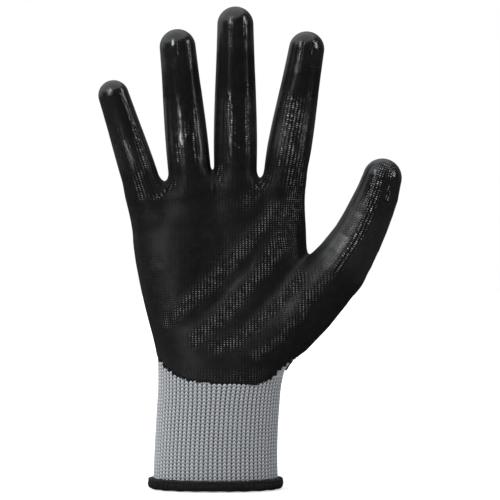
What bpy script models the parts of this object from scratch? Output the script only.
# Knitted work glove with a dipped palm, right hand, size 9.
#
# The glove stands on its cuff with the fingers pointing up (+Z), the palm
# facing -Y and the thumb towards +X. The knitted liner and the dipped coating
# are separate shells, and each is divided at the creases where a worn glove
# bends: the wrist, the knuckle line, and three creases on every finger (two on
# the thumb).
#
# Lengths are in millimetres, measured from the middle of the cuff's mouth. The
# finished glove is then moved so that the origin lies at the bottom centre of
# its overall box.

import math

import bmesh
import bpy
from mathutils import Matrix, Vector

MM = 0.001
UP = Vector((0, 0, 1))

# -------------------------------------------------------------------- layers
COAT = 0.6          # thickness of the dipped coating
GAP = 0.3           # clearance between separate layers
LINER = 1.0         # thickness of the knitted liner
CUFF_WALL = 1.4     # the ribbed cuff is knitted thicker

# growth of each surface from the tables, which give the outside of the coating
COAT_OUTER = 0.0
COAT_INNER = -COAT
LINER_OUTER = -COAT - GAP
LINER_INNER = LINER_OUTER - LINER

# -------------------------------------------------------------- mesh settings
N_FINGER = 16       # points round a finger
N_FINGER_COAT = 11  # points across a finger's coating
N_PALM = 28         # points round the palm
N_BALL = 20         # points round the ball of the thumb
N_CUFF = 30         # points round the cuff
OVAL_POWER = 2.15   # superellipse power of the fingers, ball and cuff
SHARP_ANGLE = math.radians(40)
WELD = 1e-6         # merging distance in metres
BOOLEAN_WELD = 2e-6

# --------------------------------------------------------------------- joints
JOINT_GAP = 1.0     # clear slit at each crease
SLIT_MARGIN = 2.0   # degrees added to each half of a bend when widening a slit
LIP_STEP = 0.8      # least distance from a digit's lip to the next ring
PALM_LIP_STEP = 1.0  # the same for the palm, knuckle strip and cuff
HINGE_DEPTH = 0.28  # a digit's hinge lies this share of its half depth off centre

# least and greatest bend in degrees, + when flexing
WRIST_RANGE = (-25.0, 25.0)
KNUCKLE_RANGE = (-10.0, 50.0)
FINGER_RANGES = {"base": (-15.0, 45.0), "middle": (0.0, 90.0), "tip": (0.0, 54.0)}
THUMB_RANGES = {"base": (-15.0, 22.0), "tip": (-5.0, 60.0)}

WRIST_Z = 45.0
WRIST_X = 2.0
KNUCKLE_AXIS_Y = -3.0
KNUCKLE_Z = 138.0
KNUCKLE_SLOPE = 0.088

# -------------------------------------------------------------------- fingers
# root centre (x, z), lean in degrees (+ towards the thumb), length, creases at
# (base, middle, tip) along the finger, half widths at the root, the middle
# crease, the tip crease and the pad
FINGER_SPECS = {
    "index": dict(
        x=35.8, z=163.0, lean=9.6, length=74.8,
        creases=(7.5, 26.0, 50.0), half=(11.1, 11.0, 9.5, 9.2)),
    "middle": dict(
        x=10.6, z=165.0, lean=0.0, length=84.7,
        creases=(8.0, 29.0, 57.0), half=(10.9, 11.1, 9.8, 9.3)),
    "ring": dict(
        x=-12.6, z=164.0, lean=-5.8, length=74.7,
        creases=(7.5, 26.0, 50.0), half=(11.0, 10.8, 9.6, 9.2)),
    "little": dict(
        x=-37.2, z=160.0, lean=-18.2, length=53.8,
        creases=(6.0, 21.0, 38.0), half=(9.5, 9.0, 8.3, 8.1)),
}
FINGER_Y = -0.5
FINGER_CURVE = 3.5      # how far a fingertip stands forward of its root
FINGER_STUB = -16.0     # station below the root where the width table starts
FINGER_STUB_EXTRA = 0.2  # added half width there
ROOT_DEPTH_SHARE = 0.92  # depth over width at the root of every digit

COVER = 104.0       # half angle of the coating round a digit, from the palm side
TIP_COVER = 146.0   # the same at the very tip
TIP_SHARES = (0.0, 0.42, 0.72, 0.92)  # rings of the rounded tip, share of its height
TIP_POWER = 2.2

# ---------------------------------------------------------------------- thumb
# the thumb's centre line turns from THUMB_LEAN[0] at its root to [1] at its end
THUMB_ROOT = (61.5, -7.0, 116.0)
THUMB_LENGTH = 61.0
THUMB_LEAN = (38.0, 15.0)
THUMB_FORWARD = 0.20
THUMB_SWING = 35.0  # degrees the hinges are turned about the thumb's length
THUMB_CREASES = (10.0, 34.0)
CENTRE_STEPS = 24   # steps summed along the thumb's centre line
# distance along the thumb, half width; the last row is the pad
THUMB_HALF = (
    (-6.0, 15.3), (0.0, 15.0), (14.0, 13.9), (24.0, 12.8),
    (33.0, 11.9), (42.0, 10.8), (50.5, 10.3),
)

# the ball of the thumb, from inside the palm to the thumb's root
BALL_START = (18.0, -7.5, 64.0)
BALL_END = THUMB_ROOT
BALL_STATIONS = (0.0, 15.0, 33.0, 46.0, 58.0)  # the last station is its full length
BALL_NECK = 4.0     # the ring before the thumb's base crease stands this far back
# distance along the ball, half width
BALL_HALF = ((0.0, 13.0), (15.0, 14.2), (33.0, 16.6), (44.0, 17.3), (55.0, 17.1), (68.0, 15.2))
# distance along the ball, half depth
BALL_DEPTH = ((0.0, 11.5), (15.0, 13.0), (33.0, 14.5), (44.0, 15.0), (55.0, 14.6), (68.0, 13.4))

# ----------------------------------------------------------------------- palm
# height, left edge, right edge, front, back, slope of the section
PALM = (
    (WRIST_Z, -29.3, 33.4, -22.8, 22.2, 0.000),
    (52.0, -29.0, 33.8, -22.5, 21.2, 0.000),
    (60.0, -28.9, 34.6, -21.8, 19.5, 0.008),
    (72.0, -30.0, 37.5, -20.2, 17.5, 0.020),
    (88.0, -34.0, 41.5, -18.0, 15.8, 0.038),
    (106.0, -38.4, 45.5, -16.0, 14.7, 0.058),
    (120.0, -41.2, 48.0, -14.6, 13.9, 0.076),
    (131.0, -42.9, 47.4, -13.8, 13.4, KNUCKLE_SLOPE),
    (KNUCKLE_Z, -43.2, 47.2, -13.7, 13.4, KNUCKLE_SLOPE),
)
# knuckle strip: height, left edge, right edge, front, back
STRIP = (
    (KNUCKLE_Z, -43.6, 47.2, -13.5, 13.3),
    (145.5, -43.8, 47.0, -13.4, 13.2),
    (155.0, -46.2, 46.2, -11.8, 11.6),
    (159.5, -46.3, 45.9, -9.6, 9.4),
    (162.0, -44.5, 44.0, -5.6, 5.4),
)
# the section's superellipse power rises from the wrist over POWER_RISE of height
WRIST_POWER = 2.2
POWER_GAIN = 0.5
POWER_RISE = 50.0
STRIP_POWER = 2.7
# finger stubs in the knuckle strip: distance along the finger, added growth
STUB_STATIONS = ((-14.0, -1.5), (-7.0, 0.0))

# how far a hollow runs past the open ends of its shell
PALM_OVERRUN = 14.0
STRIP_OVERRUN = 10.0

DIP_BACK = 3.0      # the palm coating stops this far behind the middle plane
DIP_EDGE_X = 5.0    # where the coating's lower edge is lowest
DIP_EDGE_Z = 54.0   # lowest point of the coating, near the middle of the wrist
DIP_SIDE_Z = 68.0   # height of the coating's edge at both sides
DIP_HALF_WIDTH = 34.0
DIP_POWER = 2.4

# ----------------------------------------------------------------------- cuff
# height, left edge, right edge, half depth
CUFF = (
    (2.5, -31.6, 32.2, 24.0),
    (10.0, -31.4, 32.1, 23.9),
    (20.0, -31.0, 32.3, 23.5),
    (32.0, -30.2, 32.7, 23.0),
    (WRIST_Z, -29.3, 33.4, 22.5),
)
HEM_HEIGHT = 6.0
HALF_WALL = CUFF_WALL / 2
# distance outwards from the middle of the cuff's wall, height
HEM_PROFILE = (
    (0.9, 0.0), (2.1, 1.0), (2.7, 3.0), (2.3, 4.9),
    (HALF_WALL + 0.55, HEM_HEIGHT),
    (HALF_WALL + GAP, HEM_HEIGHT - 0.4), (HALF_WALL + GAP, 2.2),
    (-HALF_WALL - GAP, 2.2), (-HALF_WALL - GAP, HEM_HEIGHT - 0.6),
    (-HALF_WALL - 0.6, HEM_HEIGHT - 0.3),
    (-1.9, 4.4), (-2.1, 2.4), (-1.7, 0.8), (-0.9, 0.0),
)
ELASTIC_TURNS = 6
ELASTIC_PER_TURN = 20   # rings in each turn
ELASTIC_WIRE = 0.55     # thickness of the yarn
ELASTIC_LOW = 9.0
ELASTIC_HIGH = 34.0
ELASTIC_CLEARANCE = 0.55  # keeps the coil's straight chords off the round wall


# ------------------------------------------------------------- number helpers
def clamp(value, low=0.0, high=1.0):
    return max(low, min(high, value))


def lerp_table(table, at, column=1):
    """A value from rows sorted by their first column."""
    if at <= table[0][0]:
        return table[0][column]
    for low, high in zip(table, table[1:]):
        if at <= high[0]:
            share = (at - low[0]) / (high[0] - low[0])
            return low[column] + (high[column] - low[column]) * share
    return table[-1][column]


def superellipse(angle, power=OVAL_POWER):
    """A point on the unit superellipse."""
    cosine, sine = math.cos(angle), math.sin(angle)
    return (
        math.copysign(abs(cosine) ** (2.0 / power), cosine),
        math.copysign(abs(sine) ** (2.0 / power), sine),
    )


def oval(count, power=OVAL_POWER):
    """Points round the whole unit superellipse."""
    return [superellipse(2 * math.pi * k / count, power) for k in range(count)]


def oval_ring(outline, centre, across, back, wide, deep):
    """A unit outline scaled and laid in the plane of across and back."""
    return [tuple(centre + across * (x * wide) + back * (y * deep)) for x, y in outline]


def moved(ring, offset):
    return [tuple(Vector(point) + offset) for point in ring]


def lifted(ring, rise):
    return [(x, y, z + rise) for x, y, z in ring]


# --------------------------------------------------------------- mesh helpers
def clear_scene():
    for obj in list(bpy.data.objects):
        bpy.data.objects.remove(obj)


def material(name, colour, roughness):
    made = bpy.data.materials.new(name)
    made.use_nodes = True
    shader = made.node_tree.nodes["Principled BSDF"]
    shader.inputs["Base Color"].default_value = (*colour, 1.0)
    shader.inputs["Roughness"].default_value = roughness
    shader.inputs["Metallic"].default_value = 0.0
    return made


def shade(mesh):
    mesh.shade_smooth()
    mesh.set_sharp_from_angle(angle=SHARP_ANGLE)


def make_object(name, points, faces, mat=None):
    mesh = bpy.data.meshes.new(name)
    mesh.from_pydata([tuple(c * MM for c in point) for point in points], [], faces)
    work = bmesh.new()
    work.from_mesh(mesh)
    bmesh.ops.remove_doubles(work, verts=work.verts, dist=WELD)
    bmesh.ops.recalc_face_normals(work, faces=work.faces)
    bmesh.ops.triangulate(work, faces=work.faces)
    work.to_mesh(mesh)
    work.free()
    shade(mesh)
    obj = bpy.data.objects.new(name, mesh)
    bpy.context.scene.collection.objects.link(obj)
    if mat:
        obj.data.materials.append(mat)
    return obj


def neighbours(row, closed=True):
    """Pairs of consecutive point numbers in a row."""
    pairs = list(zip(row, row[1:]))
    return pairs + [(row[-1], row[0])] if closed else pairs


def strips(first, second, closed=True):
    """Quads between two rows of point numbers."""
    sides = zip(neighbours(first, closed), neighbours(second, closed))
    return [(a, b, d, c) for (a, b), (c, d) in sides]


def shell(name, outer, inner, mat, closed=True):
    """A wall between two lofts, each given as (equal rings, tip).

    The far end is open where the tip is None. Rings that are not closed leave
    a wall that covers only part of the way round.
    """
    points, faces = [], []

    def add(ring):
        points.extend(ring)
        return list(range(len(points) - len(ring), len(points)))

    outer_rows = [add(ring) for ring in outer[0]]
    inner_rows = [add(ring) for ring in inner[0]]
    for low, high in zip(outer_rows, outer_rows[1:]):
        faces += strips(low, high, closed)
    for low, high in zip(inner_rows, inner_rows[1:]):
        faces += strips(high, low, closed)
    faces += strips(inner_rows[0], outer_rows[0], closed)
    apexes = []
    if outer[1] is None:
        faces += strips(outer_rows[-1], inner_rows[-1], closed)
    else:
        apexes = add([outer[1], inner[1]])
        faces += [(a, b, apexes[0]) for a, b in neighbours(outer_rows[-1], closed)]
        faces += [(b, a, apexes[1]) for a, b in neighbours(inner_rows[-1], closed)]
    if not closed:
        for edge in (0, -1):
            outer_edge = [row[edge] for row in outer_rows] + apexes[:1]
            inner_edge = [row[edge] for row in inner_rows] + apexes[1:]
            faces += strips(outer_edge, inner_edge, closed=False)
    return make_object(name, points, faces, mat)


def solid(name, rings, mat=None):
    """A closed loft with flat ends."""
    points, faces, rows = [], [], []
    for ring in rings:
        rows.append(list(range(len(points), len(points) + len(ring))))
        points.extend(ring)
    for low, high in zip(rows, rows[1:]):
        faces += strips(low, high)
    for end in (0, -1):
        centre = sum((Vector(point) for point in rings[end]), Vector()) / len(rings[end])
        points.append(tuple(centre))
        faces += [(a, b, len(points) - 1) for a, b in neighbours(rows[end])]
    return make_object(name, points, faces, mat)


def block(name, low, high):
    corners = [
        (x, y, z) for x in (low[0], high[0]) for y in (low[1], high[1]) for z in (low[2], high[2])
    ]
    faces = [
        (0, 1, 3, 2), (4, 6, 7, 5), (0, 4, 5, 1),
        (2, 3, 7, 6), (0, 2, 6, 4), (1, 5, 7, 3),
    ]
    return make_object(name, corners, faces)


def boolean(target, tool, operation):
    """Applies a Boolean to target and removes the tool."""
    modifier = target.modifiers.new("cut", "BOOLEAN")
    modifier.operation = operation
    modifier.object = tool
    bpy.context.view_layer.update()
    graph = bpy.context.evaluated_depsgraph_get()
    mesh = bpy.data.meshes.new_from_object(target.evaluated_get(graph))
    target.modifiers.clear()
    target.data = mesh
    bpy.data.objects.remove(tool)


def finish(obj, mat):
    """Cleans up after the Booleans and gives the piece its material."""
    work = bmesh.new()
    work.from_mesh(obj.data)
    bmesh.ops.remove_doubles(work, verts=work.verts, dist=BOOLEAN_WELD)
    bmesh.ops.dissolve_degenerate(work, edges=work.edges, dist=BOOLEAN_WELD)
    bmesh.ops.triangulate(work, faces=work.faces)
    work.to_mesh(obj.data)
    work.free()
    obj.data.materials.clear()
    obj.data.materials.append(mat)
    shade(obj.data)


# -------------------------------------------------------------------- creases
class Crease:
    """A hinge line with the slit that lets two shells turn about it.

    towards is the way the far side moves when the joint flexes. The slit is
    widened on that side by half the flexion, and behind by half the extension.
    Points slide onto the slit's lips along slide, or along the limb.
    """

    def __init__(self, position, axis, along, bend_range, slide=None):
        self.position = Vector(position)
        self.axis = Vector(axis).normalized()
        self.along = Vector(along).normalized()
        self.slide = slide or self.along
        self.towards = self.axis.cross(self.along).normalized()
        extend, flex = -bend_range[0], bend_range[1]
        self.flex_slope = math.tan(math.radians(flex / 2 + SLIT_MARGIN))
        extend_margin = SLIT_MARGIN if extend else 0.0
        self.extend_slope = math.tan(math.radians(extend / 2 + extend_margin))

    def setback(self, point):
        depth = (point - self.position).dot(self.towards)
        slope = self.flex_slope if depth > 0 else self.extend_slope
        return JOINT_GAP / 2 + abs(depth) * slope

    def lip(self, ring, side):
        """Moves a ring onto this crease's near (-1) or far (+1) lip."""
        made = []
        for point in map(Vector, ring):
            reach = (self.position - point).dot(self.along) + side * self.setback(point)
            made.append(tuple(point + self.slide * (reach / self.slide.dot(self.along))))
        return made


def end_at_crease(rings, crease, side, along, least):
    """Ends a loft on a lip, keeping the next ring at least that far from it.

    side is +1 for the first ring, on the far lip, and -1 for the last ring, on
    the near lip.
    """
    end, following = (0, 1) if side > 0 else (-1, -2)
    rings[end] = crease.lip(rings[end], side)
    inward = along * side
    made = []
    for point, lip_point in zip(map(Vector, rings[following]), map(Vector, rings[end])):
        is_clear = (point - lip_point).dot(inward) > least
        made.append(tuple(point if is_clear else lip_point + inward * least))
    rings[following] = made


# --------------------------------------------------------------------- digits
class Digit:
    """What the fingers and thumb share.

    A subclass gives name, length, marks (stations of the creases), table (half
    widths), pad (station where the rounded tip starts), and the centre line,
    frame and bend direction at a station.
    """

    def make_hinges(self, ranges):
        self.hinges = {
            joint: self.hinge(mark, bend_range)
            for mark, (joint, bend_range) in zip(self.marks, ranges.items())
        }

    def half(self, station):
        return lerp_table(self.table, station)

    def depth_share(self, station):
        return ROOT_DEPTH_SHARE - self.depth_loss * clamp(station / self.length)

    def ring(self, station, grow, count=N_FINGER, cap=1.0, cover=None):
        """Points round the digit. cover keeps only that half angle about the palm side."""
        across, back, _ = self.frame(station)
        wide = (self.half(station) + grow) * cap
        deep = (self.half(station) * self.depth_share(station) + grow) * cap
        if cover is None:
            outline = oval(count)
        else:
            outline = [
                superellipse(math.radians(-90 + cover * (2 * k / (count - 1) - 1)))
                for k in range(count)
            ]
        return oval_ring(outline, self.centre(station), across, back, wide, deep)

    def hinge(self, station, bend_range):
        deep = self.half(station) * self.depth_share(station)
        axis, towards = self.bend(station)
        position = self.centre(station) + towards * (deep * HINGE_DEPTH)
        return Crease(position, axis, self.frame(station)[2], bend_range)

    def part_rings(self, index, grow, count=N_FINGER, cover=None):
        """Rings and tip of one part, counted from the base crease outwards."""
        creases = list(self.hinges.values())
        if index == len(creases) - 1:
            return self.tip_rings(creases[-1], grow, count, cover)
        start, end = self.marks[index], self.marks[index + 1]
        rings = [
            self.ring(start + (end - start) * k / self.steps, grow, count, cover=cover)
            for k in range(self.steps + 1)
        ]
        low, high = creases[index], creases[index + 1]
        end_at_crease(rings, low, +1, low.along, LIP_STEP)
        end_at_crease(rings, high, -1, high.along, LIP_STEP)
        return rings, None

    def tip_rings(self, low, grow, count, cover):
        start = self.marks[-1]
        stations = (start, (start + self.pad) / 2)
        rings = [self.ring(station, grow, count, cover=cover) for station in stations]
        end_at_crease(rings, low, +1, low.along, LIP_STEP)
        radius = self.length - self.pad + grow
        along = self.frame(self.pad)[2]
        for share in TIP_SHARES:
            cap = math.sqrt(1 - share ** TIP_POWER)
            angle = cover
            if cover is not None:
                # the coating reaches further round towards the end
                angle = cover + (TIP_COVER - cover) * min(1.0, (share + 0.25) / 0.9)
            ring = self.ring(self.pad, grow, count, cap=cap, cover=angle)
            rings.append(moved(ring, along * (radius * share)))
        return rings, tuple(self.centre(self.pad) + along * radius)


class Finger(Digit):
    parts = ("base", "mid", "tip")
    steps = 2
    depth_loss = 0.08

    def __init__(self, name, spec):
        self.name, self.length, self.marks = name, spec["length"], spec["creases"]
        lean = math.radians(spec["lean"])
        self.root = Vector((spec["x"], FINGER_Y, spec["z"]))
        self.along = Vector((math.sin(lean), 0, math.cos(lean)))
        self.across = Vector((math.cos(lean), 0, -math.sin(lean)))
        self.back = Vector((0, 1, 0))
        root_half, middle_half, tip_half, pad_half = spec["half"]
        self.pad = self.length - pad_half
        self.table = (
            (FINGER_STUB, root_half + FINGER_STUB_EXTRA), (0.0, root_half),
            (self.marks[1], middle_half), (self.marks[2], tip_half), (self.pad, pad_half),
        )
        self.make_hinges(FINGER_RANGES)

    def centre(self, station):
        forward = FINGER_CURVE * max(station, 0.0) ** 2 / self.length ** 2
        return self.root + self.along * station - self.back * forward

    def frame(self, station):
        """Directions across, to the back and along; the same at every station."""
        return self.across, self.back, self.along

    def bend(self, station):
        """Hinge direction and the way the finger flexes."""
        return self.across, -self.back


class Thumb(Digit):
    name = "thumb"
    parts = ("base", "tip")
    steps = 4
    depth_loss = 0.07
    length = THUMB_LENGTH
    marks = THUMB_CREASES
    table = THUMB_HALF
    pad = THUMB_HALF[-1][0]

    def __init__(self):
        self.make_hinges(THUMB_RANGES)

    def direction(self, station):
        """Lean at a station, and the centre line's direction, not of unit length."""
        share = clamp(station / self.length, low=-0.1)
        lean = math.radians(THUMB_LEAN[0] + (THUMB_LEAN[1] - THUMB_LEAN[0]) * share)
        return lean, Vector((math.sin(lean), -THUMB_FORWARD, math.cos(lean)))

    def centre(self, station):
        point = Vector(THUMB_ROOT)
        for k in range(CENTRE_STEPS):
            _, direction = self.direction(station * (k + 0.5) / CENTRE_STEPS)
            point += direction * (station / CENTRE_STEPS)
        return point

    def frame(self, station):
        """Directions across, to the back and along."""
        lean, direction = self.direction(station)
        along = direction.normalized()
        across = Vector((math.cos(lean), 0, -math.sin(lean)))
        return across, along.cross(across), along

    def bend(self, station):
        """Hinge direction and the way the thumb flexes."""
        across, back, along = self.frame(station)
        turn = math.radians(THUMB_SWING)
        axis = across * math.cos(turn) - back * math.sin(turn)
        return axis, axis.cross(along)


WRIST = Crease((WRIST_X, 0.0, WRIST_Z), (1, 0, 0), UP, WRIST_RANGE)
KNUCKLES = Crease(
    (0.0, KNUCKLE_AXIS_Y, KNUCKLE_Z), (1, 0, KNUCKLE_SLOPE), (-KNUCKLE_SLOPE, 0, 1),
    KNUCKLE_RANGE, slide=UP)
FINGERS = [Finger(name, spec) for name, spec in FINGER_SPECS.items()]
THUMB = Thumb()


# ----------------------------------------------------------------------- cuff
def cuff_point(row, grow, x, y):
    """A unit outline point laid on the cuff's section, as x and y."""
    _, left, right, deep = row
    wide = (right - left) / 2 + grow
    return (left + right) / 2 + x * wide, y * (deep + grow)


def cuff_rings(grow):
    rings = [[(*cuff_point(row, grow, x, y), row[0]) for x, y in oval(N_CUFF)] for row in CUFF]
    rings[-1] = WRIST.lip(rings[-1], -1)
    rings[-2] = [
        (x, y, min(z, lip_point[2] - PALM_LIP_STEP))
        for (x, y, z), lip_point in zip(rings[-2], rings[-1])
    ]
    return rings


def build_cuff(knit):
    shell("cuff_rib_liner", (cuff_rings(0.0), None), (cuff_rings(-CUFF_WALL), None), knit)


def build_hem(overlock):
    """A rounded binding with a groove for the cuff's raw edge."""
    points, faces = [], []
    for x, y in oval(N_CUFF):
        points += [(*cuff_point(CUFF[0], out - HALF_WALL, x, y), z) for out, z in HEM_PROFILE]
    size = len(HEM_PROFILE)
    for k in range(N_CUFF):
        near, far = k * size, (k + 1) % N_CUFF * size
        faces += [
            (near + j, far + j, far + (j + 1) % size, near + (j + 1) % size)
            for j in range(size)
        ]
    make_object("hem_overlock", points, faces, overlock)


def build_elastic(elastic):
    """Elastic yarn: a coil lying against the inside of the cuff."""
    total = ELASTIC_TURNS * ELASTIC_PER_TURN
    radius = ELASTIC_WIRE / 2
    grow = -CUFF_WALL - GAP - radius - ELASTIC_CLEARANCE
    rings = []
    for k in range(total + 1):
        z = ELASTIC_LOW + (ELASTIC_HIGH - ELASTIC_LOW) * k / total
        row = (z, *(lerp_table(CUFF, z, column) for column in (1, 2, 3)))
        x, y = superellipse(2 * math.pi * k / ELASTIC_PER_TURN)
        centre = Vector((*cuff_point(row, grow, x, y), z))
        away = Vector((x, y, 0)).normalized()
        rings.append([
            tuple(centre + away * out + Vector((0, 0, rise)))
            for out, rise in ((radius, 0), (0, radius), (-radius, 0), (0, -radius))
        ])
    solid("cuff_elastic_yarn", rings, elastic)


# ---------------------------------------------------- palm and knuckle solids
# Each solid ends on the lips of its creases. Given an overrun, it runs past
# them instead, for use as a hollow.
def section(row, grow, power):
    z, left, right, front, back, slope = row
    middle, wide = (left + right) / 2, (right - left) / 2 + grow
    ring = []
    for unit_x, unit_y in oval(N_PALM, power):
        x = middle + unit_x * wide
        y = unit_y * ((back if unit_y > 0 else -front) + grow)
        ring.append((x, y, z + slope * x))
    return ring


def palm_power(z):
    return WRIST_POWER + POWER_GAIN * clamp((z - WRIST_Z) / POWER_RISE)


def palm_rings(grow, overrun):
    rings = [section(row, grow, palm_power(row[0])) for row in PALM]
    if overrun is None:
        end_at_crease(rings, WRIST, +1, UP, PALM_LIP_STEP)
        end_at_crease(rings, KNUCKLES, -1, UP, PALM_LIP_STEP)
        return rings
    return [lifted(rings[0], -overrun), *rings, lifted(rings[-1], overrun)]


def ball_rings(grow, overrun):
    """The ball of the thumb, from inside the palm to the thumb's base crease."""
    start, end = Vector(BALL_START), Vector(BALL_END)
    along = (end - start).normalized()
    across = Vector((along.z, 0, -along.x)).normalized()
    back = along.cross(across)
    rings = []
    for station in (*BALL_STATIONS, (end - start).length):
        wide = lerp_table(BALL_HALF, station) + grow
        deep = lerp_table(BALL_DEPTH, station) + grow
        centre = start + along * station
        rings.append(oval_ring(oval(N_BALL), centre, across, back, wide, deep))
    stop = THUMB.marks[0]
    rings.append(THUMB.ring(stop - BALL_NECK, grow, N_BALL))
    rings.append(THUMB.ring(stop, grow, N_BALL))
    if overrun is None:
        crease = THUMB.hinges["base"]
        end_at_crease(rings, crease, -1, crease.along, LIP_STEP)
    else:
        rings.append(moved(rings[-1], THUMB.frame(stop)[2] * overrun))
    return rings


def palm_solid(name, grow, overrun=None):
    body = solid(name, palm_rings(grow, overrun))
    boolean(body, solid("ball", ball_rings(grow, overrun)), "UNION")
    return body


def strip_rings(grow, overrun):
    rings = [section((*row, KNUCKLE_SLOPE), grow, STRIP_POWER) for row in STRIP]
    if overrun is None:
        end_at_crease(rings, KNUCKLES, +1, UP, PALM_LIP_STEP)
    else:
        rings.insert(0, lifted(rings[0], -overrun))
    rings[-1] = lifted(rings[-1], grow)
    return rings


def knuckle_solid(name, grow, overrun=None):
    """The knuckle strip with a short stub for each finger."""
    body = solid(name, strip_rings(grow, overrun))
    for finger in FINGERS:
        rings = [finger.ring(station, grow + extra) for station, extra in STUB_STATIONS]
        end = finger.ring(finger.marks[0], grow)
        if overrun is None:
            rings.append(finger.hinges["base"].lip(end, -1))
        else:
            rings += [end, moved(end, finger.along * overrun)]
        boolean(body, solid("stub", rings), "UNION")
    return body


def back_cutter(bottom):
    """Everything behind the edge of the dip, from the given height up."""
    return block("back_half", (-80, DIP_BACK, bottom), (120, 60, 190))


def wrist_edge_cutter():
    """Everything below the curved lower edge of the palm coating."""
    xs = [-60 + 125 * k / 20 for k in range(21)]
    bottom = 20.0
    rise = DIP_SIDE_Z - DIP_EDGE_Z
    outline = []
    for x in xs:
        share = min(1.0, abs((x - DIP_EDGE_X) / DIP_HALF_WIDTH))
        outline.append((x, DIP_EDGE_Z + rise * share ** DIP_POWER))
    outline += [(xs[-1], bottom), (xs[0], bottom)]
    points = [(x, y, z) for y in (-60.0, 20.0) for x, z in outline]
    size = len(outline)
    faces = [tuple(range(size)), tuple(range(2 * size - 1, size - 1, -1))]
    faces += [(k, k + size, (k + 1) % size + size, (k + 1) % size) for k in range(size)]
    return make_object("wrist_edge", points, faces)


def build_hollowed(name, make_solid, grows, overrun, mat):
    """A solid less the same solid at its inner surface."""
    outer, inner = grows
    body = make_solid(name, outer)
    boolean(body, make_solid("hollow", inner, overrun), "DIFFERENCE")
    if mat.name.startswith("black_nitrile"):
        is_palm = make_solid is palm_solid
        boolean(body, back_cutter(20 if is_palm else 100), "DIFFERENCE")
        if is_palm:
            boolean(body, wrist_edge_cutter(), "DIFFERENCE")
    finish(body, mat)


def build_palm_and_knuckles(knit, nitrile):
    for part, make_solid, overrun in (
        ("palm", palm_solid, PALM_OVERRUN),
        ("knuckle", knuckle_solid, STRIP_OVERRUN),
    ):
        liner, coating = (LINER_OUTER, LINER_INNER), (COAT_OUTER, COAT_INNER)
        build_hollowed(f"{part}_liner", make_solid, liner, overrun, knit)
        build_hollowed(f"{part}_coating", make_solid, coating, overrun, nitrile)


# --------------------------------------------------------------- digit shells
def build_digit(digit, knit, nitrile):
    for index, part in enumerate(digit.parts):
        outer, inner = (digit.part_rings(index, grow) for grow in (LINER_OUTER, LINER_INNER))
        shell(f"{digit.name}_{part}_liner", outer, inner, knit)
        outer, inner = (
            digit.part_rings(index, grow, count=N_FINGER_COAT, cover=COVER)
            for grow in (COAT_OUTER, COAT_INNER)
        )
        shell(f"{digit.name}_{part}_coating", outer, inner, nitrile, closed=False)


# -------------------------------------------------------------------- placing
def centre_meshes():
    """Puts the origin at the bottom centre of the whole glove and returns the move."""
    meshes = [obj for obj in bpy.context.scene.objects if obj.type == "MESH"]
    corners = [vertex.co for obj in meshes for vertex in obj.data.vertices]
    low = Vector([min(corner[i] for corner in corners) for i in range(3)])
    high = Vector([max(corner[i] for corner in corners) for i in range(3)])
    shift = Vector((-(low.x + high.x) / 2, -(low.y + high.y) / 2, -low.z))
    for obj in meshes:
        obj.data.transform(Matrix.Translation(shift))
    return shift


def add_joint_axes(shift):
    """An empty on each hinge line, with its X axis along the hinge."""
    creases = {"wrist": WRIST, "knuckles": KNUCKLES}
    for digit in (THUMB, *FINGERS):
        for joint, crease in digit.hinges.items():
            creases[f"{digit.name}_{joint}"] = crease
    for name, crease in creases.items():
        empty = bpy.data.objects.new(f"axis_{name}", None)
        empty.location = crease.position * MM + shift
        empty.rotation_mode = "QUATERNION"
        empty.rotation_quaternion = crease.axis.to_track_quat("X", "Z")
        bpy.context.scene.collection.objects.link(empty)


def build():
    clear_scene()
    knit = material("grey_knit", colour=(0.30, 0.315, 0.33), roughness=0.85)
    nitrile = material("black_nitrile", colour=(0.012, 0.012, 0.013), roughness=0.35)
    overlock = material("black_overlock", colour=(0.010, 0.010, 0.010), roughness=0.9)
    elastic = material("elastic_yarn", colour=(0.55, 0.54, 0.50), roughness=0.7)

    build_cuff(knit)
    build_hem(overlock)
    build_elastic(elastic)
    build_palm_and_knuckles(knit, nitrile)
    for digit in (*FINGERS, THUMB):
        build_digit(digit, knit, nitrile)

    add_joint_axes(centre_meshes())


build()
